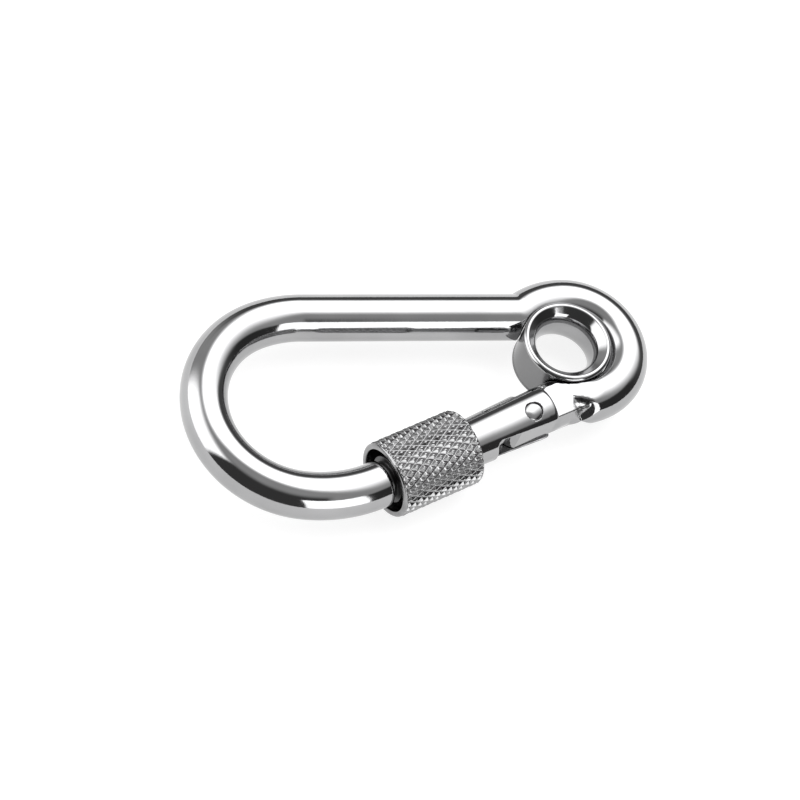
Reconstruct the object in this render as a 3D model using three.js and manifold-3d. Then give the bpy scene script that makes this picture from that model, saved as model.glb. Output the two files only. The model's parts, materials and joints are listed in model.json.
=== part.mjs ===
// Spring hook with a thimble eyelet and a screw-lock nut on its gate: rigging hardware, 80 mm long.
//
// Seven separate pieces: the bent round-bar hook with a flattened tongue, the eyelet pressed into its
// eye, the bored and slotted gate, the rivet it turns on, the knurled lock nut, and, inside the gate,
// a plunger and the spring that closes the gate by pressing the plunger on the tongue's cam end.
//
// Units are millimetres, +Z is up, and the hook lies flat. Two working frames are used:
// - the hook frame has its origin at the centre of the eye loop, +X along the spine towards the eye;
// - the gate frame has its origin on the pivot axis, +X along the closed gate away from its free end,
//   +Y towards the inside of the hook.
// The finished group stands on Z = 0 with the origin under the middle of its bounding box.

import * as THREE from "three";
import { mergeVertices } from "three/addons/utils/BufferGeometryUtils.js";
import Module from "manifold-3d";

// ---- Driving dimensions ---------------------------------------------------------------------

// Hook bar, hook frame
const BAR_RADIUS = 3.93;
const EYE_RADIUS = 9.25; // centreline of the eye loop
const EYE_SHOULDER = { angle: 95, looser: 3.6 }; // from here to the spine the loop's arc is wider
const EYE_HEEL = { angle: -55, looser: 1.5 }; // and again from here to the heel
const SPINE_Y = 6.47;
const SPINE_END_X = -44.87;
const BEND = [
  { radius: 21.6, turn: 20.9 },
  { radius: 15.9, turn: 59 },
  { radius: 16.2, turn: 92.7 },
  { radius: 23.8, turn: 30.5 },
]; // from the spine to the nose, tangent arcs

// Gate frame, as it lies in the hook frame
const PIVOT = { x: -9.73, y: -13.54 };
const GATE_ANGLE = 23.1;
const AXIS_Y = 0.8; // the gate's own axis passes this far inside the pivot
const NOSE_END_X = -28.22;

// The bar's end and its tongue, pressed flat, in the gate frame
const TONGUE_HALF_THICKNESS = 2.7;
const TONGUE_OUTER_Y = -2.25;
const TONGUE_INNER_Y = 3.6;
const TONGUE_ROOT_X = 10;
const STUB = { y: 1.2, endX: 4.4, bend: 4 }; // past a counter-bend the bar lies along the gate
const FLAT_END_X = 7.0; // the pressed flats end here and run out to the round bar
const FLAT_RUN_OUT = 1.6;

// Cam on the tongue's end, and the plunger that rides on it
const CAM_LIFT = 2.0; // plunger travel per radian of gate travel
const CAM_START = -0.2; // radians of gate travel
const CAM_END = 0.6;
const PLUNGER_RADIUS = 2.2;
const PLUNGER_NOSE_X = -6.2; // centre of its round nose
const PLUNGER_HEAD_LENGTH = 3.4;
const PLUNGER_STEM = { radius: 1.4, length: 5 };
const CAM_GAP = 0.2;

// Gate, gate frame
const GATE_TIP = { x: -27.87, radius: 3.1, length: 1 }; // turned down, to lead the nut on
const GATE_END_X = 4.1;
const GATE_SHOULDER_RADIUS = 3.9;
const GATE_NECK_RADIUS = 3.95;
const GATE_HINGE_RADIUS = 4.5;
const TAPER = { start: -11.92, end: 2.1 };
const THREAD = { start: -25.92, end: -14.92, radius: 4.3 };
const GATE_BORE = { start: -23.92, radius: 2.6 };
const SLOT = { start: -7.9, halfWidth: 2.88 };
const WEB = { end: -0.85, innerY: 3.9 }; // closes the slot's inner side, short of the pivot
const EDGE = 0.4; // small chamfers

// Rivet
const PIN_RADIUS = 1.42;
const PIN_HOLE_RADIUS = 1.54;

// Spring, inside the gate's bore
const SPRING = { start: -23.4, end: -10.1, radius: 1.97, wire: 0.28, turns: 9 };

// Lock nut, gate frame
const NUT = { start: -27.55, end: -12.12, radius: 6.35, mouthRadius: 5.25, mouthDepth: 6, boreRadius: 4.42 };
const NUT_RIM = { width: 0.6, drop: 0.2 };

// Eyelet, hook frame
const EYELET = {
  x: -1.6,
  y: -0.4,
  waistRadius: 4.58, // narrowest part of its hole
  throatCurve: 6.35, // radius of the hole's curved wall
  throatHeight: 3.02, // the wall ends here and the flare begins
  landInner: 6.65,
  landOuter: 7.0,
  landHeight: 4.1,
  lipRadius: 7.4,
  lipHeight: 3.8,
  lipUnder: 3.45,
  wallRadius: 7.3,
  wallHeight: 3.3,
};
const SEAT_GAP = 0.25; // between the eyelet and the seat cut into the bar for it

// Mesh fineness
const BAR_SIDES = 18;
const BEND_STEPS = 60;
const EYE_STEPS = 36;
const ROUND_SIDES = 36;
const FINE_ARC_STEPS = 6;
const MERGE_DISTANCE = 1e-4;
const CUT_REACH = 12; // past the outside of every piece that is cut

// ---- Solids ---------------------------------------------------------------------------------

const wasm = await Module();
wasm.setup();

function toSolid(geometry) {
  const bare = geometry.index ? geometry.toNonIndexed() : geometry.clone();
  bare.deleteAttribute("normal");
  bare.deleteAttribute("uv");
  const merged = mergeVertices(bare, MERGE_DISTANCE);
  const corners = merged.index.array;
  const triangles = [];
  for (let i = 0; i < corners.length; i += 3) {
    const [a, b, c] = corners.subarray(i, i + 3);
    if (a !== b && b !== c && c !== a) triangles.push(a, b, c);
  }
  return new wasm.Manifold(
    new wasm.Mesh({
      numProp: 3,
      vertProperties: merged.attributes.position.array,
      triVerts: new Uint32Array(triangles),
    }),
  );
}

function toGeometry(solid) {
  const mesh = solid.getMesh();
  return new THREE.BufferGeometry()
    .setAttribute("position", new THREE.BufferAttribute(mesh.vertProperties, 3))
    .setIndex(new THREE.BufferAttribute(mesh.triVerts, 1));
}

const cut = (solid, ...tools) => tools.reduce((left, tool) => left.subtract(tool), solid);
const join = (...solids) => solids.reduce((whole, solid) => whole.add(solid));

// ---- Shapes ---------------------------------------------------------------------------------

const radians = THREE.MathUtils.degToRad;

const gateFrame = new THREE.Matrix4()
  .makeTranslation(PIVOT.x, PIVOT.y, 0)
  .multiply(new THREE.Matrix4().makeRotationZ(radians(GATE_ANGLE)));

const gateFrameBack = gateFrame.clone().invert();

function placedOnGate(geometry) {
  return geometry.applyMatrix4(gateFrame);
}

function circle(radius, sides) {
  return Array.from({ length: sides }, (_, i) => {
    const angle = (2 * Math.PI * i) / sides;
    return new THREE.Vector2(radius * Math.cos(angle), radius * Math.sin(angle));
  });
}

// An arc in the plane Z = 0; angles in radians, anticlockwise.
class FlatArc extends THREE.Curve {
  constructor(centre, radius, from, to) {
    super();
    Object.assign(this, { centre, radius, from, to });
  }
  getPoint(t, target = new THREE.Vector3()) {
    const angle = this.from + t * (this.to - this.from);
    return target.set(
      this.centre.x + this.radius * Math.cos(angle),
      this.centre.y + this.radius * Math.sin(angle),
      0,
    );
  }
}

function roundBar(path, radius, steps, sides) {
  const section = new THREE.Shape(circle(radius, sides));
  return new THREE.ExtrudeGeometry(section, { steps, extrudePath: path });
}

// A turned piece on the X axis of the gate frame, moved out to the gate's own axis.
// The profile is a list of [x, radius] from left to right over the top, closed along the axis.
function turned(profile, sides = ROUND_SIDES) {
  const points = profile.map(([x, radius]) => new THREE.Vector2(radius, x));
  return new THREE.LatheGeometry(points, sides).rotateZ(-Math.PI / 2).translate(0, AXIS_Y, 0);
}

// An upright round bar or drill, on Z.
function upright(radius, halfHeight, sides = ROUND_SIDES) {
  return new THREE.CylinderGeometry(radius, radius, 2 * halfHeight, sides).rotateX(Math.PI / 2);
}

function block(from, to) {
  const size = new THREE.Vector3().subVectors(to, from);
  const middle = new THREE.Vector3().addVectors(from, to).multiplyScalar(0.5);
  return new THREE.BoxGeometry(size.x, size.y, size.z).translate(middle.x, middle.y, middle.z);
}

// ---- Hook -----------------------------------------------------------------------------------

// An arc of the eye loop, looser than the loop by some millimetres but touching it at one angle.
function looserArc({ angle, looser }, from, to) {
  const centre = new THREE.Vector3(Math.cos(radians(angle)), Math.sin(radians(angle)), 0);
  return new FlatArc(centre.multiplyScalar(-looser), EYE_RADIUS + looser, from, to);
}

// The loop's centreline, clockwise from the neck, where it meets the spine at a sharp bend, round to
// the heel, where a counter-bend leads into the straight stub along the gate.
function eyeLoop() {
  const shoulder = radians(EYE_SHOULDER.angle);
  const heel = radians(EYE_HEEL.angle);
  const upperArc = looserArc(EYE_SHOULDER, Math.PI, shoulder);
  upperArc.from -= Math.asin((SPINE_Y - upperArc.centre.y) / upperArc.radius);
  const heelArc = looserArc(EYE_HEEL, heel, heel);
  const onGate = heelArc.centre.clone().applyMatrix4(gateFrameBack);
  const bendY = STUB.y - STUB.bend;
  const reach = heelArc.radius + STUB.bend;
  const bendX = onGate.x - Math.sqrt(reach ** 2 - (onGate.y - bendY) ** 2);
  const bendCentre = new THREE.Vector3(bendX, bendY, 0).applyMatrix4(gateFrame);
  const towards = bendCentre.clone().sub(heelArc.centre);
  heelArc.to = Math.atan2(towards.y, towards.x);
  const level = radians(GATE_ANGLE) + Math.PI / 2;
  const bend = new FlatArc(bendCentre, STUB.bend, heelArc.to + Math.PI, level);
  const stubEnd = new THREE.Vector3(STUB.endX, STUB.y, 0).applyMatrix4(gateFrame);
  const path = new THREE.CurvePath();
  path.add(upperArc);
  path.add(new FlatArc(new THREE.Vector3(), EYE_RADIUS, shoulder, heel));
  path.add(heelArc);
  path.add(bend);
  path.add(new THREE.LineCurve3(bend.getPoint(1), stubEnd));
  return path;
}

const loopPath = eyeLoop();
const neck = loopPath.getPoint(0);

// From the neck along the spine, round the bend and straight on to the nose's end face.
function spineToNose() {
  const path = new THREE.CurvePath();
  let point = new THREE.Vector3(SPINE_END_X, SPINE_Y, 0);
  let heading = Math.PI;
  path.add(new THREE.LineCurve3(neck, point));
  for (const { radius, turn } of BEND) {
    const normal = new THREE.Vector3(-Math.sin(heading), Math.cos(heading), 0);
    const centre = point.clone().addScaledVector(normal, radius);
    const arc = new FlatArc(centre, radius, heading - Math.PI / 2, heading - Math.PI / 2 + radians(turn));
    path.add(arc);
    point = arc.getPoint(1);
    heading += radians(turn);
  }
  const onGate = point.clone().applyMatrix4(gateFrameBack);
  const noseEnd = new THREE.Vector3(NOSE_END_X, onGate.y, 0).applyMatrix4(gateFrame);
  path.add(new THREE.LineCurve3(point, noseEnd));
  return path;
}

// The pressed flats: everything above the tongue's face is cut away, up to a slope.
function flatCutter(side) {
  const z = side * TONGUE_HALF_THICKNESS;
  const far = side * CUT_REACH;
  const slopeX = FLAT_END_X + (FLAT_RUN_OUT * (CUT_REACH - TONGUE_HALF_THICKNESS)) / BAR_RADIUS;
  const outline = new THREE.Shape([
    new THREE.Vector2(-CUT_REACH, z),
    new THREE.Vector2(FLAT_END_X, z),
    new THREE.Vector2(slopeX, far),
    new THREE.Vector2(-CUT_REACH, far),
  ]);
  const depth = 2 * CUT_REACH;
  const slab = new THREE.ExtrudeGeometry(outline, { depth, bevelEnabled: false });
  return placedOnGate(slab.translate(0, 0, -CUT_REACH).rotateX(Math.PI / 2));
}

// The cam lets the plunger's round nose ride back evenly as the gate opens: the nose centre's path
// in the tongue's frame, moved in by the nose radius and the gap. u runs from the pivot to the free
// end and v to the inside of the hook.
function camPoint(travel) {
  const reach = -PLUNGER_NOSE_X + CAM_LIFT * travel;
  const lean = CAM_LIFT - AXIS_Y;
  const inset = (PLUNGER_RADIUS + CAM_GAP) / Math.hypot(reach, lean);
  const u = reach * (1 - inset);
  const v = AXIS_Y + lean * inset;
  const cos = Math.cos(travel);
  const sin = Math.sin(travel);
  return new THREE.Vector2(-(u * cos - v * sin), u * sin + v * cos);
}

function tongueOutline() {
  const camSteps = 2 * FINE_ARC_STEPS;
  const camFirst = camPoint(CAM_START);
  const endRadius = camFirst.length();
  const from = Math.PI - Math.asin(TONGUE_OUTER_Y / endRadius);
  const to = Math.PI - Math.asin(camFirst.y / endRadius);
  const outline = new THREE.Shape();
  outline.moveTo(TONGUE_ROOT_X, TONGUE_OUTER_Y);
  outline.lineTo(TONGUE_ROOT_X, TONGUE_INNER_Y);
  for (let i = camSteps; i >= 0; i--) {
    const { x, y } = camPoint(CAM_START + ((CAM_END - CAM_START) * i) / camSteps);
    outline.lineTo(x, Math.min(y, TONGUE_INNER_Y));
  }
  outline.absarc(0, 0, endRadius, to, from, false);
  return outline;
}

function tongue() {
  const depth = 2 * TONGUE_HALF_THICKNESS;
  const plate = new THREE.ExtrudeGeometry(tongueOutline(), {
    depth,
    bevelEnabled: false,
    curveSegments: FINE_ARC_STEPS,
  });
  return placedOnGate(plate.translate(0, 0, -TONGUE_HALF_THICKNESS));
}

// Half of a turned profile in (radius, z), from the waist up, mirrored below.
function mirroredProfile(upperHalf) {
  const lowerHalf = upperHalf
    .filter(([, z]) => z > 0)
    .map(([radius, z]) => [radius, -z])
    .reverse();
  return [...lowerHalf, ...upperHalf];
}

// A curved wall that starts level at (radius, 0) and leans out on an arc of the given radius.
function leaningWall(radius, curve, height) {
  return Array.from({ length: FINE_ARC_STEPS + 1 }, (_, i) => {
    const z = (height * i) / FINE_ARC_STEPS;
    return [radius + curve - Math.sqrt(curve ** 2 - z ** 2), z];
  });
}

function turnedOnEyelet(profile) {
  const points = profile.map(([radius, z]) => new THREE.Vector2(radius, z));
  return new THREE.LatheGeometry(points, ROUND_SIDES)
    .rotateX(Math.PI / 2)
    .translate(EYELET.x, EYELET.y, 0);
}

// What the eyelet, with its gap, takes out of the bar's inner side.
function eyeletSeat() {
  const radius = EYELET.lipRadius + SEAT_GAP;
  return upright(radius, CUT_REACH).translate(EYELET.x, EYELET.y, 0);
}

function hookBody() {
  const spine = toSolid(roundBar(spineToNose(), BAR_RADIUS, BEND_STEPS, BAR_SIDES));
  const knuckle = toSolid(
    new THREE.SphereGeometry(BAR_RADIUS, BAR_SIDES, BAR_SIDES / 2)
      .rotateX(Math.PI / 2)
      .translate(neck.x, neck.y, 0),
  );
  const loop = toSolid(roundBar(loopPath, BAR_RADIUS, EYE_STEPS, BAR_SIDES));
  const flats = [1, -1].map((side) => toSolid(flatCutter(side)));
  const pinHole = toSolid(placedOnGate(upright(PIN_HOLE_RADIUS, BAR_RADIUS)));
  const bar = join(spine, knuckle, cut(loop, ...flats), toSolid(tongue()));
  return cut(bar, toSolid(eyeletSeat()), pinHole);
}

// ---- Eyelet ---------------------------------------------------------------------------------

function eyelet() {
  const throat = leaningWall(EYELET.waistRadius, EYELET.throatCurve, EYELET.throatHeight);
  const inside = mirroredProfile([...throat, [EYELET.landInner, EYELET.landHeight]]);
  const outside = mirroredProfile([
    [EYELET.wallRadius, EYELET.wallHeight],
    [EYELET.lipRadius, EYELET.lipUnder],
    [EYELET.lipRadius, EYELET.lipHeight],
    [EYELET.landOuter, EYELET.landHeight],
  ]);
  return toSolid(turnedOnEyelet([...outside, ...inside.reverse(), outside[0]]));
}

// ---- Gate and what is in and on it ----------------------------------------------------------

const gateProfile = [
  [GATE_TIP.x, 0],
  [GATE_TIP.x, GATE_TIP.radius - EDGE],
  [GATE_TIP.x + EDGE, GATE_TIP.radius],
  [GATE_TIP.x + GATE_TIP.length, GATE_TIP.radius],
  [GATE_TIP.x + GATE_TIP.length, GATE_SHOULDER_RADIUS],
  [THREAD.start, GATE_SHOULDER_RADIUS],
  [THREAD.start + EDGE, THREAD.radius],
  [THREAD.end - EDGE, THREAD.radius],
  [THREAD.end, GATE_NECK_RADIUS],
  [TAPER.start, GATE_NECK_RADIUS],
  [TAPER.end, GATE_HINGE_RADIUS],
  [GATE_END_X - EDGE, GATE_HINGE_RADIUS],
  [GATE_END_X, GATE_HINGE_RADIUS - EDGE],
  [GATE_END_X, 0],
];

function gate() {
  const bar = toSolid(turned(gateProfile));
  const bore = toSolid(
    turned([
      [GATE_BORE.start, 0],
      [GATE_BORE.start, GATE_BORE.radius],
      [SLOT.start + EDGE, GATE_BORE.radius],
      [SLOT.start + EDGE, 0],
    ]),
  );
  const slot = toSolid(
    block(
      new THREE.Vector3(SLOT.start, -CUT_REACH, -SLOT.halfWidth),
      new THREE.Vector3(CUT_REACH, WEB.innerY, SLOT.halfWidth),
    ),
  );
  const openEnd = toSolid(
    block(
      new THREE.Vector3(WEB.end, -CUT_REACH, -SLOT.halfWidth),
      new THREE.Vector3(CUT_REACH, CUT_REACH, SLOT.halfWidth),
    ),
  );
  const pinHole = toSolid(upright(PIN_HOLE_RADIUS, CUT_REACH));
  return cut(bar, bore, slot, openEnd, pinHole);
}

// The rivet's ends are dressed flush with the gate's round outside.
function pivotPin() {
  return toSolid(upright(PIN_RADIUS, CUT_REACH)).intersect(toSolid(turned(gateProfile)));
}

function plunger() {
  const nose = Array.from({ length: FINE_ARC_STEPS + 1 }, (_, i) => {
    const angle = (Math.PI / 2) * (1 - i / FINE_ARC_STEPS);
    const radius = i === FINE_ARC_STEPS ? 0 : PLUNGER_RADIUS * Math.sin(angle);
    return [PLUNGER_NOSE_X + PLUNGER_RADIUS * Math.cos(angle), radius];
  });
  const shoulder = PLUNGER_NOSE_X - PLUNGER_HEAD_LENGTH;
  const stemEnd = shoulder - PLUNGER_STEM.length;
  return toSolid(
    turned([
      [stemEnd, 0],
      [stemEnd, PLUNGER_STEM.radius],
      [shoulder, PLUNGER_STEM.radius],
      [shoulder, PLUNGER_RADIUS],
      ...nose,
    ]),
  );
}

// The spring's centreline: a helix on the gate's axis.
class Helix extends THREE.Curve {
  getPoint(t, target = new THREE.Vector3()) {
    const angle = 2 * Math.PI * SPRING.turns * t;
    return target.set(
      THREE.MathUtils.lerp(SPRING.start, SPRING.end, t),
      AXIS_Y + SPRING.radius * Math.cos(angle),
      SPRING.radius * Math.sin(angle),
    );
  }
}

function gateSpring() {
  const stepsPerTurn = 12;
  const wireSides = 6;
  return toSolid(roundBar(new Helix(), SPRING.wire, SPRING.turns * stepsPerTurn, wireSides));
}

function lockNut() {
  const { start, end, radius, mouthRadius, mouthDepth, boreRadius } = NUT;
  const { width, drop } = NUT_RIM;
  return toSolid(
    turned([
      [start, mouthRadius],
      [start, radius - width],
      [start + drop, radius - drop],
      [start + width, radius],
      [end - width, radius],
      [end - drop, radius - drop],
      [end, radius - width],
      [end, boreRadius],
      [start + mouthDepth, boreRadius],
      [start + mouthDepth, mouthRadius],
      [start, mouthRadius],
    ]),
  );
}

// ---- Assembly -------------------------------------------------------------------------------

const polishedSteel = { color: 0xc9cbcd, roughness: 0.12, metalness: 1 };
const turnedSteel = { color: 0xb4b6b8, roughness: 0.3, metalness: 1 };
const springSteel = { color: 0x9a9c9f, roughness: 0.35, metalness: 1 };

function piece(name, solid, finish) {
  const mesh = new THREE.Mesh(toGeometry(solid), new THREE.MeshStandardMaterial(finish));
  mesh.name = name;
  return mesh;
}

const hookGroup = new THREE.Group();
hookGroup.add(
  piece("hook_body", hookBody(), polishedSteel),
  piece("eyelet", eyelet(), polishedSteel),
);

const gateGroup = new THREE.Group();
gateGroup.position.set(PIVOT.x, PIVOT.y, 0);
gateGroup.rotation.z = radians(GATE_ANGLE);
gateGroup.add(
  piece("gate", gate(), polishedSteel),
  piece("pivot_pin", pivotPin(), polishedSteel),
  piece("plunger", plunger(), turnedSteel),
  piece("gate_spring", gateSpring(), springSteel),
  piece("lock_nut", lockNut(), turnedSteel),
);

const snapHook = new THREE.Group();
snapHook.add(hookGroup, gateGroup);
const box = new THREE.Box3().setFromObject(snapHook);
const middle = box.getCenter(new THREE.Vector3());
snapHook.position.set(-middle.x, -middle.y, -box.min.z);

export default snapHook;
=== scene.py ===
"""A polished stainless spring hook with a thimble eyelet and a knurled screw-lock nut.

The shapes are worked out in millimetres in two frames that follow the CAD model:
- the hook frame has its origin at the centre of the eye loop, +X along the spine towards the eye;
- the gate frame has its origin on the hinge axis, +X along the closed gate away from its free end,
  +Y towards the inside of the hook.
The bent bar, the gate and the rivet are smooth distance fields turned into fine meshes, so that the
pressed flats, the slot and the edges are rounded as polishing leaves them. The eyelet, the nut, the
plunger and the spring are turned or swept. Everything is then moved into the CAD frame in metres.
"""

import json
import math

import bpy
import numpy as np
from mathutils import Matrix, Vector


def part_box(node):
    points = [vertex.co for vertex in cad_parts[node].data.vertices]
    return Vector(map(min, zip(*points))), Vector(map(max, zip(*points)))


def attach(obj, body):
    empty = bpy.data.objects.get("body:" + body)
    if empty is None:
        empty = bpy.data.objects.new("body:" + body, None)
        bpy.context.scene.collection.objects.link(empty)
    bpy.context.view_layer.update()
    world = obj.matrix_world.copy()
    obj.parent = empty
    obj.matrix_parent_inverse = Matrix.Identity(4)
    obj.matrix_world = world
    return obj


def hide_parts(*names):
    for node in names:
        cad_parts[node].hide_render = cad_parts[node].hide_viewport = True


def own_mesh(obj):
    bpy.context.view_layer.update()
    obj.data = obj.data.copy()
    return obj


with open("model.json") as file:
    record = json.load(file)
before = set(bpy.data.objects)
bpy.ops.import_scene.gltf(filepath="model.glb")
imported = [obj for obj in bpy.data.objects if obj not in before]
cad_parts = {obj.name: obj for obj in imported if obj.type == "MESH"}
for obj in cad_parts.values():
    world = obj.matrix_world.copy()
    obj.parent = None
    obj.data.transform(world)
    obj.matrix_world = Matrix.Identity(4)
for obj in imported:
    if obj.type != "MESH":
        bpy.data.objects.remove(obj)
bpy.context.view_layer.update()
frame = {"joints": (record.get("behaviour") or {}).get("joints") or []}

MM = 0.001

# ---- Places, from the frame -----------------------------------------------------------------

EYELET_OFFSET = (-1.6, -0.4)  # the eyelet's centre in the hook frame

joints = {joint["name"]: joint for joint in frame["joints"]}


def box_mm(node):
    low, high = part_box(node)
    return np.array(low) / MM, np.array(high) / MM


def hook_origin():
    low, high = box_mm("eyelet")
    middle = (low + high) / 2
    return middle - np.array([*EYELET_OFFSET, 0])


HOOK_ORIGIN = hook_origin()
GATE_ORIGIN = np.array(joints["gate_hinge"]["pos_m"]) / MM
GATE_ALONG = np.array(joints["nut_slide"]["axis"])
GATE_INWARD = np.array([-GATE_ALONG[1], GATE_ALONG[0], 0])

# ---- Sizes, in millimetres ------------------------------------------------------------------

BAR_RADIUS = 3.86
EYE_RADIUS = 9.25
EYE_SHOULDER = {"angle": 95, "looser": 3.6}
NECK_FILLET = 3.2
EYE_HEEL = {"angle": -55, "looser": 1.5}
SPINE_Y = 6.47
SPINE_END_X = -44.87
BEND = [(21.6, 20.9), (15.9, 59), (16.2, 92.7), (23.8, 30.5)]  # radius, turn in degrees
NOSE_END_X = -28.06

TONGUE_HALF = 2.7
TONGUE_OUTER_Y = -2.25
TONGUE_INNER_Y = 3.6
TONGUE_ROOT_X = 10
TONGUE_END = {"x": -0.35, "y": 0.4, "long": 4.2, "wide": 3.3, "spread": 4.9}  # part of an oval
STUB = {"y": 1.2, "end_x": 4.4, "bend": 4}
FLATS = {"end": 6.4, "slope": 0.22}
TOOL_MARK = {"x": 8.1, "y": 0.5, "lean": 0.15, "top": 3.6, "fall": 0.95, "flank": 1.1}
PIN_HOLE_RADIUS = 1.53
PIN_RADIUS = 1.5

GATE_AXIS_Y = 0.8
GATE_TIP = {"x": -27.87, "radius": 3.1, "length": 1}
GATE_END_X = 4.1
GATE_NECK_RADIUS = 3.95
GATE_HINGE_RADIUS = 4.5
GATE_TAPER = (-11.92, 2.1)
GATE_THREAD = {"start": -25.92, "end": -14.92, "radius": 4.3, "depth": 0.42, "pitch": 1.0}
GATE_BORE = {"start": -23.92, "radius": 2.6}
GATE_SLOT = {"start": -7.9, "half": 2.88}
GATE_WEB = {"end": -0.85, "inner_y": 3.9}

EYELET = {
    "waist": 4.58,
    "throat_curve": 6.35,
    "throat_height": 3.02,
    "land_inner": 6.65,
    "land_outer": 7.0,
    "land_height": 4.1,
    "lip": 7.4,
    "lip_height": 3.8,
    "lip_under": 3.45,
    "wall": 7.3,
    "wall_height": 3.3,
}
SEAT_GAP = 0.05

NUT = {
    "start": -27.55,
    "end": -12.12,
    "radius": 6.35,
    "mouth": 5.25,
    "mouth_depth": 6,
    "bore": 4.42,
}
NUT_FRONT_EDGE = [(0, 0.4), (0.2, 0.12), (0.5, 0)]  # in from the end face, down from the crests
NUT_BACK_EDGE = [(0.6, 0), (0.25, 0.15), (0, 0.6)]
NUT_RIM = 0.3  # plain stretch at each end of the knurl
KNURL_FADE = 0.25
GROOVE_SIDES = 24  # sides of the nut's mesh to one groove
KNURL = {"grooves": 31, "axial": 2.3, "depth": 0.38, "flat": 1.3}

SPRING = {"start": -23.4, "end": -10.1, "radius": 1.97, "wire": 0.28, "turns": 9}
PLUNGER = {"nose_x": -6.2, "radius": 2.2, "head": 3.4, "stem_radius": 1.4, "stem": 5}
RIVET_CROWN = {"inset": 0.02, "curve": 0.1}

# How far each edge or join is rounded
ROUNDING = {
    "nose_end": 0.2,
    "flats": 0.5,
    "mark": 0.3,
    "stub_end": 0.8,
    "tongue": 0.3,
    "tongue_join": 0.5,
    "eyelet_seat": 0.25,
    "pin_hole": 0.1,
    "thread_ends": 0.4,
    "gate_tip": 0.6,
    "gate_end": 0.9,
    "slot_sides": 0.3,
    "slot_end": 1.2,
    "gate_cuts": 0.25,
    "rivet": 0.2,
    "flare": 1.1,
    "eyelet_lip": 0.35,
    "nut": 0.3,
    "plunger": 0.15,
}

# ---- Frames ---------------------------------------------------------------------------------


def hook_to_row(points):
    return (points + HOOK_ORIGIN) * MM


def gate_to_row(points):
    x, y, z = points.T
    flat = np.outer(x, GATE_ALONG) + np.outer(y, GATE_INWARD)
    return (flat + GATE_ORIGIN + np.outer(z, [0, 0, 1])) * MM


def hook_to_gate(points):
    """Points of the hook frame as x, y, z in the gate frame."""
    away = points + (HOOK_ORIGIN - GATE_ORIGIN)
    return away @ GATE_ALONG, away @ GATE_INWARD, away[..., 2]


# ---- Distance fields: negative inside, in millimetres ----------------------------------------


def smooth_min(a, b, reach):
    near = np.maximum(reach - np.abs(a - b), 0) / reach
    return np.minimum(a, b) - near * near * reach / 4


def smooth_max(a, b, reach):
    return -smooth_min(-a, -b, reach)


def line_distance(x, y, start, end):
    along = np.subtract(end, start)
    share = ((x - start[0]) * along[0] + (y - start[1]) * along[1]) / (along @ along)
    share = np.clip(share, 0, 1)
    return np.hypot(x - start[0] - share * along[0], y - start[1] - share * along[1])


def arc_distance(x, y, centre, radius, start, sweep):
    """Distance to an arc in the plane; start and sweep are angles in radians."""
    dx, dy = x - centre[0], y - centre[1]
    middle = start + sweep / 2
    off_middle = np.abs((np.arctan2(dy, dx) - middle + math.pi) % (2 * math.pi) - math.pi)
    to_ends = [
        np.hypot(dx - radius * math.cos(angle), dy - radius * math.sin(angle))
        for angle in (start, start + sweep)
    ]
    on_arc = np.abs(np.hypot(dx, dy) - radius)
    return np.where(off_middle <= abs(sweep) / 2, on_arc, np.minimum(*to_ends))


def polygon_field(u, v, outline):
    """Signed distance to a closed outline of (u, v) corners."""
    nearest = np.full(u.shape, np.inf)
    inside = np.zeros(u.shape, bool)
    for start, end in zip(outline, outline[1:] + outline[:1]):
        nearest = np.minimum(nearest, line_distance(u, v, start, end))
        if start[1] != end[1]:
            between = (start[1] > v) != (end[1] > v)
            crossing = start[0] + (v - start[1]) * (end[0] - start[0]) / (end[1] - start[1])
            inside ^= between & (u < crossing)
    return np.where(inside, -nearest, nearest)


def only_near(mask, function, far):
    """The field of function where mask holds, and far elsewhere."""
    values = np.full(mask.shape, float(far))
    values[mask] = function(mask)
    return values


# ---- The bent bar ---------------------------------------------------------------------------


def looser_arc(shape):
    """Centre and radius of an arc wider than the eye loop that touches it at one angle."""
    angle = math.radians(shape["angle"])
    centre = (-shape["looser"] * math.cos(angle), -shape["looser"] * math.sin(angle))
    return centre, EYE_RADIUS + shape["looser"]


def gate_point(x, y):
    """A point of the gate frame as x and y in the hook frame."""
    return (GATE_ORIGIN - HOOK_ORIGIN + x * GATE_ALONG + y * GATE_INWARD)[:2]


def loop_arcs():
    """Arcs from the spine round the eye to the heel, as centre, radius, start and sweep."""
    shoulder = math.radians(EYE_SHOULDER["angle"])
    heel = math.radians(EYE_HEEL["angle"])
    centre, radius = looser_arc(EYE_SHOULDER)
    rise = SPINE_Y + NECK_FILLET - centre[1]
    start = math.pi - math.asin(rise / (radius + NECK_FILLET))
    fillet_x = centre[0] + (radius + NECK_FILLET) * math.cos(start)
    turn = start - math.pi / 2
    neck = ((fillet_x, SPINE_Y + NECK_FILLET), NECK_FILLET, -math.pi / 2, turn)
    upper = (centre, radius, start, shoulder - start)
    middle = ((0, 0), EYE_RADIUS, shoulder, heel - shoulder)
    return [neck, upper, middle]


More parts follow.
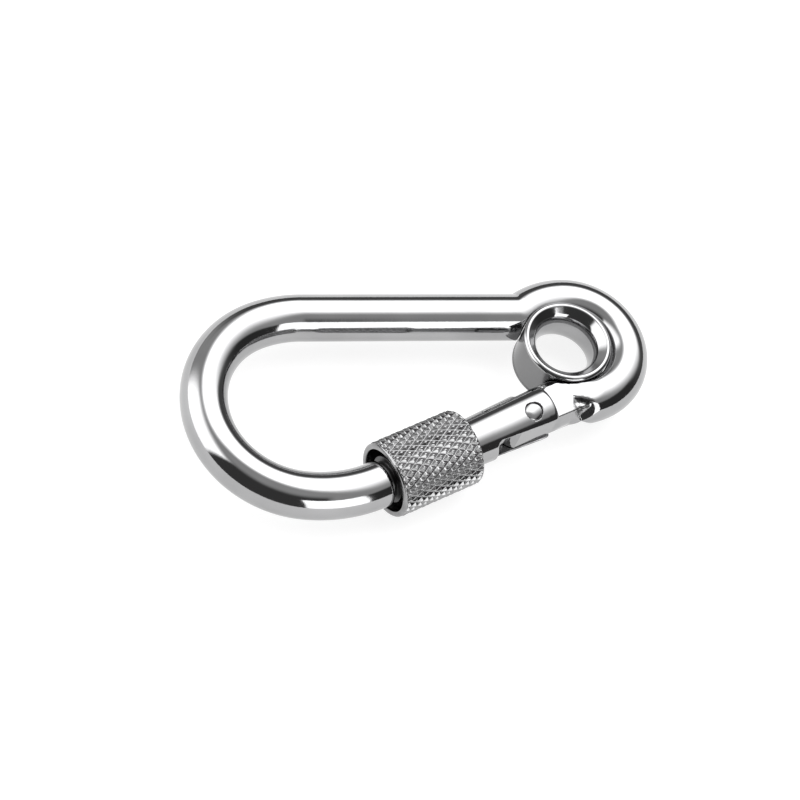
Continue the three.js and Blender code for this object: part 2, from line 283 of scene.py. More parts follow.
def heel_path():
    """The heel's arc, its counter-bend and the ends of the stub that lies along the gate."""
    heel = math.radians(EYE_HEEL["angle"])
    centre, radius = looser_arc(EYE_HEEL)
    centre_x, centre_y, _ = hook_to_gate(np.array([*centre, 0.0]))
    bend_y = STUB["y"] - STUB["bend"]
    reach = radius + STUB["bend"]
    bend_x = centre_x - math.sqrt(reach**2 - (centre_y - bend_y) ** 2)
    bend_centre = gate_point(bend_x, bend_y)
    towards = math.atan2(bend_centre[1] - centre[1], bend_centre[0] - centre[0])
    level = math.atan2(GATE_INWARD[1], GATE_INWARD[0])
    lower = (centre, radius, heel, towards - heel)
    bend = (tuple(bend_centre), STUB["bend"], towards + math.pi, level - towards - math.pi)
    return lower, bend, (gate_point(bend_x, STUB["y"]), gate_point(0, STUB["y"]))


def arc_point(centre, radius, angle):
    return np.array([centre[0] + radius * math.cos(angle), centre[1] + radius * math.sin(angle)])


def bend_arcs():
    """The bend's tangent arcs from the spine to the nose, then the nose's start and heading."""
    point = np.array([SPINE_END_X, SPINE_Y])
    heading = math.pi
    arcs = []
    for radius, degrees in BEND:
        normal = np.array([-math.sin(heading), math.cos(heading)])
        centre = point + normal * radius
        start = heading - math.pi / 2
        turn = math.radians(degrees)
        arcs.append((tuple(centre), radius, start, turn))
        point = arc_point(centre, radius, start + turn)
        heading += turn
    return arcs, point, heading


LOOP_ARCS = loop_arcs()
HEEL_ARC, HEEL_BEND, STUB_ENDS = heel_path()
BEND_ARCS, NOSE_START, NOSE_HEADING = bend_arcs()
NECK = arc_point(*LOOP_ARCS[0][:3])
NOSE_LENGTH = 8  # straight on past the end face, which then cuts it


def bar_field(distance, z):
    return np.hypot(distance, z) - BAR_RADIUS


def nose_field(x, y, z, gate_x):
    forward = np.array([math.cos(NOSE_HEADING), math.sin(NOSE_HEADING)])
    straight = line_distance(x, y, NOSE_START, NOSE_START + NOSE_LENGTH * forward)
    bar = bar_field(np.minimum(straight, arc_distance(x, y, *BEND_ARCS[-1])), z)
    return smooth_max(bar, gate_x - NOSE_END_X, ROUNDING["nose_end"])


def mark_field(gate_x, gate_y, z):
    """A notch left by the pressing tool: it starts on the bar's top and widens outwards."""
    outward = TOOL_MARK["y"] - gate_y
    across = np.abs(gate_x - TOOL_MARK["x"] - TOOL_MARK["lean"] * outward)
    bottom = TOOL_MARK["top"] - TOOL_MARK["fall"] * outward + TOOL_MARK["flank"] * across
    return (bottom - np.abs(z)) / math.hypot(1, TOOL_MARK["fall"], TOOL_MARK["flank"])


def heel_field(x, y, z, gate_x, gate_y):
    """The loop's end, pressed flat on both sides, with a mark of the pressing tool."""
    arcs = [arc_distance(x, y, *arc) for arc in (HEEL_ARC, HEEL_BEND)]
    bar = bar_field(np.minimum.reduce([*arcs, line_distance(x, y, *STUB_ENDS)]), z)
    flat = np.abs(z) - TONGUE_HALF - np.maximum(gate_x - FLATS["end"], 0) * FLATS["slope"]
    pressed = smooth_max(bar, flat, ROUNDING["flats"])
    pressed = smooth_max(pressed, -mark_field(gate_x, gate_y, z), ROUNDING["mark"])
    return smooth_max(pressed, STUB["end_x"] - gate_x, ROUNDING["stub_end"])


def tongue_outline():
    end = TONGUE_END
    start = math.asin(TONGUE_INNER_Y / end["spread"])
    tip = [
        (end["x"] - math.cos(angle) * end["long"], end["y"] + math.sin(angle) * end["wide"])
        for angle in np.linspace(start, -start, 15)
    ]
    return [
        (TONGUE_ROOT_X, TONGUE_OUTER_Y),
        (TONGUE_ROOT_X, TONGUE_INNER_Y),
        *tip,
    ]


def tongue_field(gate_x, gate_y, z):
    plan = polygon_field(gate_x, gate_y, tongue_outline())
    return smooth_max(plan, np.abs(z) - TONGUE_HALF, ROUNDING["tongue"])


def leaning_wall(radius, curve, height):
    return [
        (radius + curve - math.sqrt(curve**2 - z**2), z) for z in np.linspace(0, height, 9)
    ]


def hook_field(points):
    x, y, z = points.T
    gate_x, gate_y, _ = hook_to_gate(points)
    spine = line_distance(x, y, NECK, (SPINE_END_X, SPINE_Y))
    arcs = [arc_distance(x, y, *arc) for arc in (*BEND_ARCS[:-1], *LOOP_ARCS)]
    bar = bar_field(np.minimum.reduce([spine, *arcs]), z)
    bar = np.minimum(bar, nose_field(x, y, z, gate_x))
    bar = np.minimum(bar, heel_field(x, y, z, gate_x, gate_y))
    by_hinge = (np.abs(gate_x) < 13) & (np.abs(gate_y) < 8)
    tongue = only_near(by_hinge, lambda m: tongue_field(gate_x[m], gate_y[m], z[m]), 9)
    bar = smooth_min(bar, tongue, ROUNDING["tongue_join"])
    seat = np.hypot(x - EYELET_OFFSET[0], y - EYELET_OFFSET[1]) - EYELET["lip"] - SEAT_GAP
    bar = smooth_max(bar, -seat, ROUNDING["eyelet_seat"])
    pin_hole = np.hypot(gate_x, gate_y) - PIN_HOLE_RADIUS
    return smooth_max(bar, -pin_hole, ROUNDING["pin_hole"])


# ---- The gate -------------------------------------------------------------------------------


def thread_height(x, turn):
    """A rounded screw thread's height below its crest at x, with its turn angle in radians."""
    phase = (x / GATE_THREAD["pitch"] + turn / (2 * math.pi)) % 1
    return GATE_THREAD["depth"] * (0.5 - 0.5 * np.cos(2 * math.pi * phase))


def gate_radius(x):
    share = np.clip((x - GATE_TAPER[0]) / (GATE_TAPER[1] - GATE_TAPER[0]), 0, 1)
    return GATE_NECK_RADIUS + share * (GATE_HINGE_RADIUS - GATE_NECK_RADIUS)


def gate_outside(x, y, z):
    """The turned outside, with its thread and rounded ends."""
    across = y - GATE_AXIS_Y
    away = np.hypot(across, z)
    shoulder = GATE_TIP["x"] + GATE_TIP["length"]
    plain = np.maximum(away - gate_radius(x), shoulder - x)
    plain = np.minimum(plain, away - GATE_TIP["radius"])
    crest = away - GATE_THREAD["radius"] + thread_height(x, np.arctan2(z, across))
    middle = (GATE_THREAD["start"] + GATE_THREAD["end"]) / 2
    half = (GATE_THREAD["end"] - GATE_THREAD["start"]) / 2
    thread = smooth_max(crest, np.abs(x - middle) - half, ROUNDING["thread_ends"])
    outside = np.minimum(plain, thread)
    outside = smooth_max(outside, GATE_TIP["x"] - x, ROUNDING["gate_tip"])
    return smooth_max(outside, x - GATE_END_X, ROUNDING["gate_end"])


def gate_field(points):
    x, y, z = points.T
    across = y - GATE_AXIS_Y
    bore = np.maximum(np.hypot(across, z) - GATE_BORE["radius"], GATE_BORE["start"] - x)
    bore = np.maximum(bore, x - GATE_SLOT["start"] - 1)
    half = np.abs(z) - GATE_SLOT["half"]
    slot = smooth_max(half, y - GATE_WEB["inner_y"], ROUNDING["slot_sides"])
    slot = smooth_max(slot, GATE_SLOT["start"] - x, ROUNDING["slot_end"])
    open_end = smooth_max(half, GATE_WEB["end"] - x, ROUNDING["slot_sides"])
    pin_hole = np.hypot(x, y) - PIN_HOLE_RADIUS
    cuts = np.minimum(np.minimum(bore, slot), open_end)
    body = smooth_max(gate_outside(x, y, z), -cuts, ROUNDING["gate_cuts"])
    return smooth_max(body, -pin_hole, ROUNDING["pin_hole"])


def rivet_field(points):
    """The rivet, its ends dressed to the gate's round outside with a softened edge."""
    x, y, z = points.T
    across = y - GATE_AXIS_Y
    crown = RIVET_CROWN["inset"] + RIVET_CROWN["curve"] * (x**2 + y**2)
    outside = np.hypot(across, z) - gate_radius(x) + crown
    return smooth_max(np.hypot(x, y) - PIN_RADIUS, outside, ROUNDING["rivet"])


# ---- From a field to a mesh -----------------------------------------------------------------


def surface_net(field, low, high, cell):
    """Vertices and quads of the field's zero surface on a grid with that cell size."""
    axes = [np.arange(a, b + cell, cell) for a, b in zip(low, high)]
    shape = np.array([len(axis) for axis in axes])
    grid = np.stack(np.meshgrid(*axes, indexing="ij"), -1).reshape(-1, 3)
    values = field(grid).reshape(shape)
    inside = values < 0
    cells = shape - 1
    total = np.zeros((np.prod(cells), 3))
    count = np.zeros(np.prod(cells))
    edges = []
    for a in range(3):
        b, c = (a + 1) % 3, (a + 2) % 3
        first = [slice(None)] * 3
        second = [slice(None)] * 3
        first[a] = slice(None, -1)
        second[a] = slice(1, None)
        crossing = inside[tuple(first)] != inside[tuple(second)]
        at = np.argwhere(crossing)
        before = values[tuple(first)][crossing]
        after = values[tuple(second)][crossing]
        point = np.array(low) + at * cell
        point[:, a] += cell * before / (before - after)
        corners = []
        for step_b, step_c in ((1, 1), (0, 1), (0, 0), (1, 0)):
            cell_at = at.copy()
            cell_at[:, b] -= step_b
            cell_at[:, c] -= step_c
            corners.append(np.ravel_multi_index(cell_at.T, cells))
        for corner in corners:
            count += np.bincount(corner, minlength=len(count))
            for k in range(3):
                total[:, k] += np.bincount(corner, point[:, k], len(count))
        quads = np.stack(corners, 1)
        outward = inside[tuple(first)][crossing]
        quads[~outward] = quads[~outward][:, ::-1]
        edges.append(quads)
    used = count > 0
    number = np.cumsum(used) - 1
    return total[used] / count[used][:, None], number[np.concatenate(edges)]


def slope_of(field, points, step=0.01):
    """The field's gradient."""
    parts = []
    for k in range(3):
        move = np.zeros(3)
        move[k] = step
        parts.append((field(points + move) - field(points - move)) / (2 * step))
    return np.stack(parts, 1)


def settle(field, points, cell, rounds=3):
    """Moves points onto the field's zero surface, and returns them with their normals."""
    for _ in range(rounds):
        slope = slope_of(field, points)
        size = np.maximum((slope**2).sum(1), 0.05)
        step = slope * (field(points) / size)[:, None]
        length = np.linalg.norm(step, axis=1)
        step *= np.minimum(1, 0.5 * cell / np.maximum(length, 1e-9))[:, None]
        points = points - step
    slope = slope_of(field, points)
    return points, slope / np.maximum(np.linalg.norm(slope, axis=1), 1e-9)[:, None]


def make_object(name, points, faces, normals=None):
    """A smooth-shaded mesh object from an array of points in metres and a list of faces."""
    mesh = bpy.data.meshes.new(name)
    mesh.from_pydata(points.tolist(), [], faces)
    mesh.update()
    mesh.shade_smooth()
    if normals is not None:
        mesh.normals_split_custom_set_from_vertices(normals.tolist())
    piece = bpy.data.objects.new(name, mesh)
    bpy.context.scene.collection.objects.link(piece)
    return piece


def field_object(name, field, low, high, cell, to_row):
    points, quads = surface_net(field, low, high, cell)
    points, normals = settle(field, points, cell)
    origin = to_row(np.zeros((1, 3)))
    row_normals = (to_row(normals) - origin) / MM
    return make_object(name, to_row(points), quads.tolist(), row_normals)


# ---- Turned and swept pieces ----------------------------------------------------------------


def turned_mesh(profile, sides, displace=None):
    """Points and quads of a closed profile of (along, radius) turned round its axis.

    displace, where given, is called with along, turn and radius arrays and returns new radii.
    """
    along, radius = np.array(profile).T
    turn = np.linspace(0, 2 * math.pi, sides, endpoint=False)
    along, turns = np.meshgrid(along, turn, indexing="ij")
    radii = np.repeat(radius[:, None], sides, 1)
    if displace:
        radii = displace(along, turns, radii)
    points = np.stack([along, radii * np.cos(turns), radii * np.sin(turns)], -1).reshape(-1, 3)
    rows = np.arange(len(profile))
    row, side = np.meshgrid(rows, np.arange(sides), indexing="ij")
    next_row, next_side = (row + 1) % len(profile), (side + 1) % sides
    quads = [
        row * sides + side,
        next_row * sides + side,
        next_row * sides + next_side,
        row * sides + next_side,
    ]
    return points, np.stack(quads, -1).reshape(-1, 4)


def rounded(corners, reach, steps=5):
    """An open outline with each inner corner replaced by a small curve."""
    result = [corners[0]]
    for before, corner, after in zip(corners, corners[1:], corners[2:]):
        before, corner, after = (np.array(p, float) for p in (before, corner, after))
        back, ahead = before - corner, after - corner
        cut = min(reach, 0.45 * np.linalg.norm(back), 0.45 * np.linalg.norm(ahead))
        start = corner + back / np.linalg.norm(back) * cut
        end = corner + ahead / np.linalg.norm(ahead) * cut
        for t in np.linspace(0, 1, steps):
            point = (1 - t) ** 2 * start + 2 * t * (1 - t) * corner + t**2 * end
            result.append(tuple(point))
    result.append(corners[-1])
    return result


def finely(profile, longest):
    """The same outline with no step longer than that."""
    result = []
    for start, end in zip(profile, profile[1:]):
        steps = max(1, math.ceil(math.dist(start, end) / longest))
        for i in range(steps):
            share = i / steps
            result.append(tuple(a + share * (b - a) for a, b in zip(start, end)))
    result.append(profile[-1])
    return result


def eyelet_piece():
    throat = leaning_wall(EYELET["waist"], EYELET["throat_curve"], EYELET["throat_height"])
    land_start = (EYELET["land_inner"], EYELET["land_height"])
    flare = rounded([throat[-3], throat[-1], land_start], ROUNDING["flare"], 9)
    land = rounded(
        [
            flare[-2],
            land_start,
            (EYELET["land_outer"], EYELET["land_height"]),
            (EYELET["lip"], EYELET["lip_height"]),
            (EYELET["lip"], EYELET["lip_under"]),
            (EYELET["wall"], EYELET["wall_height"]),
            (EYELET["wall"], 0),
        ],
        ROUNDING["eyelet_lip"],
        6,
    )
    upper = finely(throat[:-3] + flare[:-1] + land[1:], 0.25)
    profile = [(z, radius) for radius, z in upper]
    lower = [(-z, radius) for z, radius in reversed(profile[1:-1])]
    points, quads = turned_mesh(profile + lower, 256)
    upright = np.stack([points[:, 2], points[:, 1], points[:, 0]], 1)
    upright[:, :2] += EYELET_OFFSET
    return make_object("eyelet_ring", hook_to_row(upright), quads.tolist())


def wave(phase):
    """A ridge wave from 0 in the groove to 1 along the crest."""
    return np.abs(2 * (phase % 1) - 1)


def knurl(along, turns, radii):
    """Two crossing sets of helical grooves on the nut's outer face."""
    phase = turns / (2 * math.pi) * KNURL["grooves"]
    lead = along / KNURL["axial"]
    left = np.clip(KNURL["flat"] * wave(phase + lead), 0, 1)
    right = np.clip(KNURL["flat"] * wave(phase - lead), 0, 1)
    lowered = KNURL["depth"] * (1 - np.minimum(left, right))
    ends = np.minimum(along - NUT["start"], NUT["end"] - along) - NUT_RIM
    fade = np.clip(ends / KNURL_FADE, 0, 1)
    outer = radii > NUT["radius"] - 0.3
    return np.where(outer, radii - lowered * fade, radii)


def nut_piece():
    start, end = NUT["start"], NUT["end"]
    front = [(start + along, NUT["radius"] - down) for along, down in NUT_FRONT_EDGE]
    back = [(end - along, NUT["radius"] - down) for along, down in NUT_BACK_EDGE]
    mouth = [(start + 1.5, NUT["mouth"]), (start, NUT["mouth"] + 0.05)]
    bore_end = [(end, NUT["bore"] + 0.2), (end - 0.3, NUT["bore"])]
    left = rounded(mouth + front, ROUNDING["nut"])
    outer = finely([front[-1], back[0]], 0.1)
    right = rounded(back + bore_end, ROUNDING["nut"])
    step = start + NUT["mouth_depth"]
    bore = finely([bore_end[-1], (step, NUT["bore"])], 0.12)
    profile = left + outer[1:] + right[1:] + bore[1:] + [(step, NUT["mouth"])]

    def shaped(along, turns, radii):
        radii = knurl(along, turns, radii)
        inner = (np.abs(radii - NUT["bore"]) < 0.01) & (along < end - 0.5)
        return np.where(inner, radii + GATE_THREAD["depth"] - thread_height(along, turns), radii)

    points, quads = turned_mesh(profile, KNURL["grooves"] * GROOVE_SIDES, shaped)
    points[:, 1] += GATE_AXIS_Y
    return make_object("knurled_nut", gate_to_row(points), quads[:, ::-1].tolist())


def plunger_piece():
    nose = [
        (
            PLUNGER["nose_x"] + PLUNGER["radius"] * math.cos(angle),
            PLUNGER["radius"] * math.sin(angle),
        )
        for angle in np.linspace(math.pi / 2, 0.02, 12)
    ]
    shoulder = PLUNGER["nose_x"] - PLUNGER["head"]
    stem_end = shoulder - PLUNGER["stem"]
    back = rounded(
        [
            (stem_end, 0.01),
            (stem_end, PLUNGER["stem_radius"]),
            (shoulder, PLUNGER["stem_radius"]),
            (shoulder, PLUNGER["radius"]),
            nose[0],
        ],
        ROUNDING["plunger"],
    )
    points, quads = turned_mesh(back + nose[1:], 64)
    points[:, 1] += GATE_AXIS_Y
    return make_object("plunger_pin", gate_to_row(points), quads[:, ::-1].tolist())


def swept_tube(centres, radius, sides):
    """Points and faces of a round wire along a list of centres."""
    centres = np.array(centres)
    ahead = np.gradient(centres, axis=0)
    ahead /= np.linalg.norm(ahead, axis=1)[:, None]
    across = np.cross(ahead, [1, 0, 0])
    across /= np.linalg.norm(across, axis=1)[:, None]
    third = np.cross(ahead, across)
    turn = np.linspace(0, 2 * math.pi, sides, endpoint=False)
    ring = radius * (
        np.cos(turn)[None, :, None] * across[:, None] + np.sin(turn)[None, :, None] * third[:, None]
    )
    points = (centres[:, None] + ring).reshape(-1, 3)
    faces = []
    for i in range(len(centres) - 1):
        for j in range(sides):
            k = (j + 1) % sides
            faces.append((i * sides + j, i * sides + k, (i + 1) * sides + k, (i + 1) * sides + j))
    last = (len(centres) - 1) * sides
    faces.append(tuple(range(sides))[::-1])
    faces.append(tuple(range(last, last + sides)))
    return points, faces


def spring_piece():
    steps = SPRING["turns"] * 32
    centres = []
    for i in range(steps + 1):
        share = i / steps
        angle = 2 * math.pi * SPRING["turns"] * share
        centres.append(
            (
                SPRING["start"] + share * (SPRING["end"] - SPRING["start"]),
                GATE_AXIS_Y + SPRING["radius"] * math.cos(angle),
                SPRING["radius"] * math.sin(angle),
            )
        )
    points, faces = swept_tube(centres, SPRING["wire"], 14)
    return make_object("closing_spring", gate_to_row(points), faces)


# ---- Materials ------------------------------------------------------------------------------


class Finish:
    """A metal finish: a Principled shader with a small procedural node tree."""

    def __init__(self, name):
        self.material = bpy.data.materials.new(name)
        self.material.use_nodes = True
        self.tree = self.material.node_tree
        self.shader = self.tree.nodes["Principled BSDF"]
        self.shader.inputs["Metallic"].default_value = 1.0
        self.place = self.tree.nodes.new("ShaderNodeTexCoord").outputs["Object"]

    def noise(self, scale, detail):
        """Noise with that many features to the metre."""
        node = self.tree.nodes.new("ShaderNodeTexNoise")
        node.inputs["Scale"].default_value = scale
        node.inputs["Detail"].default_value = detail
        self.tree.links.new(self.place, node.inputs["Vector"])
        return node.outputs["Fac"]

    def ranged(self, value, low, high, start=0.3, end=0.7):
        node = self.tree.nodes.new("ShaderNodeMapRange")
        node.inputs["From Min"].default_value = start
        node.inputs["From Max"].default_value = end
        node.inputs["To Min"].default_value = low
        node.inputs["To Max"].default_value = high
        self.tree.links.new(value, node.inputs["Value"])
        return node.outputs["Result"]

    def tint(self, value, dark, light):
        node = self.tree.nodes.new("ShaderNodeValToRGB")
        low, high = node.color_ramp.elements
        low.position = 0.35
        low.color = (*dark, 1)
        high.position = 0.65
        high.color = (*light, 1)
        self.tree.links.new(value, node.inputs["Fac"])
        self.tree.links.new(node.outputs["Color"], self.shader.inputs["Base Color"])

    def rough(self, value, low, high):
        self.tree.links.new(self.ranged(value, low, high), self.shader.inputs["Roughness"])

    def bumps(self, *layers):
        """Layers of (height value, depth in metres), added one on another."""
        normal = None
        for value, depth in layers:
            node = self.tree.nodes.new("ShaderNodeBump")
            node.inputs["Strength"].default_value = 1.0
            node.inputs["Distance"].default_value = depth
            self.tree.links.new(value, node.inputs["Height"])
            if normal:
                self.tree.links.new(normal, node.inputs["Normal"])
            normal = node.outputs["Normal"]
        self.tree.links.new(normal, self.shader.inputs["Normal"])

    def vector(self, operation, first, second=(0, 0, 0)):
        """The outputs of a vector sum; second is a plain vector."""
        node = self.tree.nodes.new("ShaderNodeVectorMath")
        node.operation = operation
        node.inputs[1].default_value = second
        self.tree.links.new(first, node.inputs[0])
        return node.outputs

    def from_point(self, point):
        """Distance from a point, in metres."""
        return self.vector("DISTANCE", self.place, point)["Value"]

    def off_axis(self, point, axis):
        """Distance from the line through a point, in metres."""
        away = self.vector("SUBTRACT", self.place, point)["Vector"]
        across = self.vector("CROSS_PRODUCT", away, axis)["Vector"]
        return self.vector("LENGTH", across)["Value"]

    def along_axis(self, point, axis):
        """Distance past a point along an axis, in metres."""
        away = self.vector("SUBTRACT", self.place, point)["Vector"]
        return self.vector("DOT_PRODUCT", away, axis)["Value"]

    def times(self, a, b):
        node = self.tree.nodes.new("ShaderNodeMath")
        node.operation = "MULTIPLY"
        self.tree.links.new(a, node.inputs[0])
        self.tree.links.new(b, node.inputs[1])
        return node.outputs["Value"]

    def patch(self, mask, colour, roughness):
        """Another colour and roughness where the mask is 1."""
        changes = [("RGBA", "Base Color", (*colour, 1)), ("FLOAT", "Roughness", roughness)]
        for kind, name, value in changes:
            node = self.tree.nodes.new("ShaderNodeMix")
            node.data_type = kind
            factor, first, second = [socket for socket in node.inputs if socket.enabled]
            second.default_value = value
            before = self.shader.inputs[name].links[0].from_socket
            after = next(socket for socket in node.outputs if socket.enabled)
            self.tree.links.new(mask, factor)
            self.tree.links.new(before, first)
            self.tree.links.new(after, self.shader.inputs[name])


def grey(value):
    return (value, value, value * 1.01)


def polished(name, level, roughness):
    finish = Finish(name)
    finish.tint(finish.noise(140, 2.0), grey(level * 0.94), grey(level * 1.04))
    finish.rough(finish.noise(420, 4.0), roughness * 0.7, roughness * 1.5)
    finish.bumps(
        (finish.noise(220, 1.0), 5e-6),
        (finish.noise(1400, 2.0), 2e-6),
        (finish.noise(5200, 2.0), 2.4e-6),
    )
    return finish


MARK_SHADE_PATCH = {"x": 9.0, "y": -2.2, "inner": 1.2, "outer": 2.2}  # painted shade round the tool mark, stippled
MOUTH_SHADE_LEVEL, DULL_ROUGHNESS = 0.08, 0.3  # painted shade inside the nut's mouth and on the gate's tip there, on rougher steel
WALL_SHADE_LEVEL, WALL_ROUGHNESS = 0.2, 0.2  # painted shade on the eyelet's wall under its lip, on rougher steel
BLEND = {"wall": 0.1, "thread": 0.5, "mouth": 0.15}  # how softly each patch begins


def bar_steel():
    """Polished, with stippled painted shade in and round the tool mark by the gate."""
    finish = polished("polished_bar", 0.36, 0.06)
    mark = gate_to_row(np.array([[MARK_SHADE_PATCH["x"], MARK_SHADE_PATCH["y"], TONGUE_HALF]]))[0]
    away = finish.from_point(mark)
    near = finish.ranged(away, 1, 0, MARK_SHADE_PATCH["inner"] * MM, MARK_SHADE_PATCH["outer"] * MM)
    grain = finish.ranged(finish.noise(1600, 2.0), 0, 1, 0.42, 0.52)
    # painted shade: near-black colour in and round the tool mark, broken up by noise, on rougher
    # steel
    finish.patch(finish.times(near, grain), grey(0.07), 0.25)
    return finish.material


def eyelet_steel():
    """Polished, with painted shade on the outer wall under its lip."""
    finish = polished("polished_eyelet", 0.36, 0.08)
    middle = hook_to_row(np.array([[*EYELET_OFFSET, 0.0]]))[0]
    radius = finish.off_axis(middle, (0, 0, 1))
    height = finish.along_axis(middle, (0, 0, 1))
    wall = EYELET["wall"]
    outside = finish.ranged(radius, 0, 1, (wall - BLEND["wall"]) * MM, wall * MM)
    below = finish.ranged(height, 1, 0, EYELET["wall_height"] * MM, EYELET["lip_under"] * MM)
    # painted shade on the wall below the lip's overhang
    finish.patch(finish.times(outside, below), grey(WALL_SHADE_LEVEL), WALL_ROUGHNESS)
    return finish.material


def gate_steel():
    """Polished, with painted shade on its tip past the thread, at the nut's mouth."""
    finish = polished("polished_gate", 0.36, 0.07)
    pivot = gate_to_row(np.zeros((1, 3)))[0]
    along = finish.along_axis(pivot, tuple(GATE_ALONG))
    start = GATE_THREAD["start"]
    tip = finish.ranged(along, 1, 0, (start - BLEND["thread"]) * MM, start * MM)
    # painted shade on the gate's tip at the nut's mouth
    finish.patch(tip, grey(MOUTH_SHADE_LEVEL), DULL_ROUGHNESS)
    return finish.material


def turned_steel(name, level, roughness, grain=5e-6):
    finish = Finish(name)
    finish.tint(finish.noise(500, 3.0), grey(level * 0.85), grey(level * 1.05))
    finish.rough(finish.noise(900, 4.0), roughness * 0.7, roughness * 1.4)
    finish.bumps((finish.noise(3200, 3.0), grain))
    return finish


def nut_steel():
    """Knurled outside, with painted shade inside its mouth."""
    finish = turned_steel("knurled", 0.29, 0.1, grain=2e-5)
    middle = gate_to_row(np.array([[0, GATE_AXIS_Y, 0]]))[0]
    radius = finish.off_axis(middle, tuple(GATE_ALONG))
    mouth = NUT["mouth"]
    inside = finish.ranged(radius, 1, 0, mouth * MM, (mouth + BLEND["mouth"]) * MM)
    # painted shade inside the nut's mouth
    finish.patch(inside, grey(MOUTH_SHADE_LEVEL), DULL_ROUGHNESS)
    return finish.material


# ---- Studio ---------------------------------------------------------------------------------

# Soft panels and dark drapes as seen from the hook. "at" is the azimuth, anticlockwise from +X, and
# the elevation above the floor, in degrees; "half" is the half width and half height. "soft" is the
# width of the edges at the lower azimuth, the higher azimuth, the bottom and the top.
CAMERA_SIDE_DRAPE = {"at": (-125, 18), "half": (46, 42), "soft": (6, 6, 6, 24), "level": 0.08}
FAR_SIDE_DRAPE = {"at": (25, 4), "half": (78, 24), "soft": (20, 30, 8, 12), "level": 0.13}
FRONT_DRAPE = {"at": (-26, 15), "half": (30, 22), "soft": (4, 30, 8, 10), "level": 0.055}
OVERHEAD_PANEL = {"at": (54, 58), "half": (30, 29), "soft": (52, 18, 16, 18), "level": 3.6}
RIGHT_STRIP = {"at": (-70, 11), "half": (17, 26), "soft": (2, 3, 2, 3), "level": 3.2}
LEFT_PANEL = {"at": (163, 20), "half": (28, 34), "soft": (20, 8, 14, 20), "level": 3.0}
PANELS = [
    CAMERA_SIDE_DRAPE,
    FAR_SIDE_DRAPE,
    FRONT_DRAPE,
    OVERHEAD_PANEL,
    RIGHT_STRIP,
    LEFT_PANEL,
]
EDGE_POWER = 1.6  # how steeply a panel's soft edge falls off
ROOM_LEVEL = 0.56
BACKDROP_LEVEL = 1.0
FLOOR_GLOW = 0.8  # the floor is a pale light table, which keeps shadows faint
FLOOR_HALF = 2.0  # metres


class Sky:
    """The world's node tree, built up panel by panel."""

    def __init__(self):
        world = bpy.data.worlds.new("studio")
        world.use_nodes = True
        bpy.context.scene.world = world
        self.tree = world.node_tree
        self.background = self.tree.nodes["Background"]
        self.background.inputs["Color"].default_value = (1, 1, 1, 1)
        self.direction = self.tree.nodes.new("ShaderNodeTexCoord").outputs["Generated"]
        self.level = self.number(ROOM_LEVEL)

    def number(self, value):
        node = self.tree.nodes.new("ShaderNodeValue")
        node.outputs[0].default_value = value
        return node.outputs[0]

    def math(self, operation, *values):
        node = self.tree.nodes.new("ShaderNodeMath")
        node.operation = operation
        for socket, value in zip(node.inputs, values):
            if isinstance(value, bpy.types.NodeSocket):
                self.tree.links.new(value, socket)
            else:
                socket.default_value = value
        return node.outputs[0]

    def dot(self, vector):
        node = self.tree.nodes.new("ShaderNodeVectorMath")
        node.operation = "DOT_PRODUCT"
        self.tree.links.new(self.direction, node.inputs[0])
        node.inputs[1].default_value = vector
        return node.outputs["Value"]

    def edge(self, angle, outer, inner):
        """0 past the outer angle, rising smoothly to 1 at the inner one; both in degrees."""
        node = self.tree.nodes.new("ShaderNodeMapRange")
        node.interpolation_type = "SMOOTHSTEP"
        node.inputs["From Min"].default_value = math.radians(outer)
        node.inputs["From Max"].default_value = math.radians(inner)
        self.tree.links.new(angle, node.inputs["Value"])
        return node.outputs["Result"]

    def inside(self, angle, half, low_soft, high_soft):
        """1 between the two edges of a panel, falling off across each soft edge."""
        low = self.edge(angle, -half - low_soft / 2, -half + low_soft / 2)
        high = self.edge(angle, half + high_soft / 2, half - high_soft / 2)
        both = self.math("MULTIPLY", low, high)
        return self.math("POWER", both, EDGE_POWER)

    def add_panel(self, at, half, soft, level):
        azimuth, elevation = (math.radians(a) for a in at)
        ahead = Vector(
            (
                math.cos(azimuth) * math.cos(elevation),
                math.sin(azimuth) * math.cos(elevation),
                math.sin(elevation),
            )
        )
        side = Vector((-math.sin(azimuth), math.cos(azimuth), 0))
        top = ahead.cross(side)
        forward = self.dot(ahead)
        sideways = self.math("ARCTAN2", self.dot(side), forward)
        upwards = self.math("ARCSINE", self.dot(top))
        mask = self.math(
            "MULTIPLY",
            self.inside(sideways, half[0], *soft[:2]),
            self.inside(upwards, half[1], *soft[2:]),
        )
        change = self.math("SUBTRACT", level, self.level)
        self.level = self.math("MULTIPLY_ADD", mask, change, self.level)

    def finish(self):
        """What the camera itself sees past the floor is a plain pale backdrop."""
        seen = self.tree.nodes.new("ShaderNodeLightPath").outputs["Is Camera Ray"]
        change = self.math("SUBTRACT", BACKDROP_LEVEL, self.level)
        strength = self.math("MULTIPLY_ADD", seen, change, self.level)
        self.tree.links.new(strength, self.background.inputs["Strength"])


def studio():
    sky = Sky()
    for panel in PANELS:
        sky.add_panel(**panel)
    sky.finish()


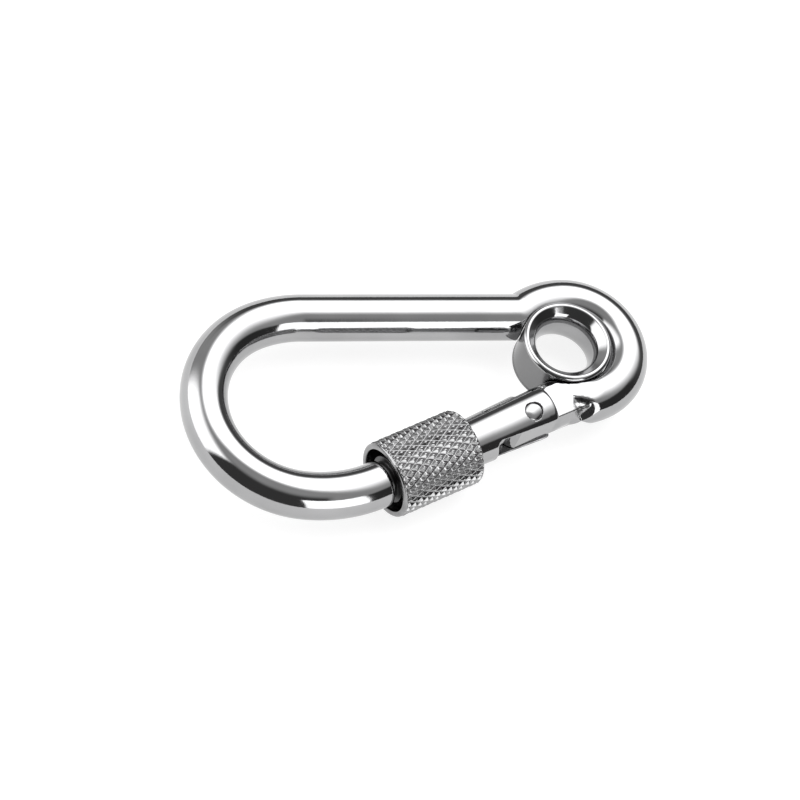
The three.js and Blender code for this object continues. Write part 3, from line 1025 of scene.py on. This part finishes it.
def floor():
    half = FLOOR_HALF
    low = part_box("lock_nut")[0].z
    corners = [(-half, -half, low), (half, -half, low), (half, half, low), (-half, half, low)]
    mesh = bpy.data.meshes.new("floor")
    mesh.from_pydata(corners, [], [(0, 1, 2, 3)])
    sheet = bpy.data.objects.new("floor", mesh)
    bpy.context.scene.collection.objects.link(sheet)
    finish = Finish("floor_paper")
    finish.shader.inputs["Metallic"].default_value = 0.0
    finish.shader.inputs["Roughness"].default_value = 0.7
    finish.tint(finish.noise(30, 2.0), (0.30, 0.30, 0.30), (0.32, 0.32, 0.32))
    finish.shader.inputs["Emission Color"].default_value = (1, 1, 1, 1)
    finish.shader.inputs["Emission Strength"].default_value = FLOOR_GLOW
    mesh.materials.append(finish.material)


CAMERA = {
    "azimuth": -30.44,
    "elevation": 56.93,
    "roll": 25.65,
    "distance": 559.5 * MM,
    "aim": Vector((-3.7, -0.5, 6.35)) * MM,
    "lens": 156.5,
}


def camera():
    azimuth, elevation = math.radians(CAMERA["azimuth"]), math.radians(CAMERA["elevation"])
    back = Vector(
        (
            math.sin(azimuth) * math.cos(elevation),
            -math.cos(azimuth) * math.cos(elevation),
            math.sin(elevation),
        )
    )
    level = Vector((math.cos(azimuth), math.sin(azimuth), 0))
    right = Matrix.Rotation(math.radians(CAMERA["roll"]), 3, back) @ level
    up = back.cross(right)
    data = bpy.data.cameras.new("camera")
    data.lens = CAMERA["lens"]
    data.sensor_width = 36
    viewer = bpy.data.objects.new("camera", data)
    bpy.context.scene.collection.objects.link(viewer)
    place = Matrix((right, up, back)).transposed().to_4x4()
    place.translation = CAMERA["aim"] + back * CAMERA["distance"]
    viewer.matrix_world = place
    bpy.context.scene.camera = viewer


# ---- Build ----------------------------------------------------------------------------------

FINE = 0.25


def in_hook_frame(node, margin=0.6):
    low, high = box_mm(node)
    return low - HOOK_ORIGIN - margin, high - HOOK_ORIGIN + margin


def finished(piece, body, node, material):
    piece.data.materials.append(material)
    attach(piece, body)
    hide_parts(node)
    return piece


def build():
    low, high = in_hook_frame("hook_body")
    bar = field_object("hook_bar", hook_field, low, high, FINE, hook_to_row)
    finished(bar, "hook", "hook_body", bar_steel())
    finished(eyelet_piece(), "hook", "eyelet", eyelet_steel())
    gate_low = np.array([GATE_TIP["x"] - 0.6, GATE_AXIS_Y - GATE_HINGE_RADIUS - 0.6, -5.1])
    gate_high = np.array([GATE_END_X + 0.6, GATE_AXIS_Y + GATE_HINGE_RADIUS + 0.6, 5.1])
    gate = field_object("gate_bar", gate_field, gate_low, gate_high, FINE * 0.6, gate_to_row)
    finished(gate, "gate", "gate", gate_steel())
    pin_low, pin_high = np.array([-2, -2, -5.1]), np.array([2, 2, 5.1])
    rivet = field_object("rivet", rivet_field, pin_low, pin_high, 0.1, gate_to_row)
    finished(rivet, "gate", "pivot_pin", polished("rivet_steel", 0.34, 0.12).material)
    nut = nut_piece()
    finished(nut, "nut", "lock_nut", nut_steel())
    plunger = plunger_piece()
    turned = turned_steel("turned", 0.4, 0.25).material
    finished(plunger, "plunger", "plunger", turned)
    spring = spring_piece()
    wire = turned_steel("wire", 0.35, 0.3).material
    finished(spring, "gate", "gate_spring", wire)
    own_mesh(spring)


camera()
studio()
floor()
build()
bpy.context.scene.view_settings.view_transform = "Standard"
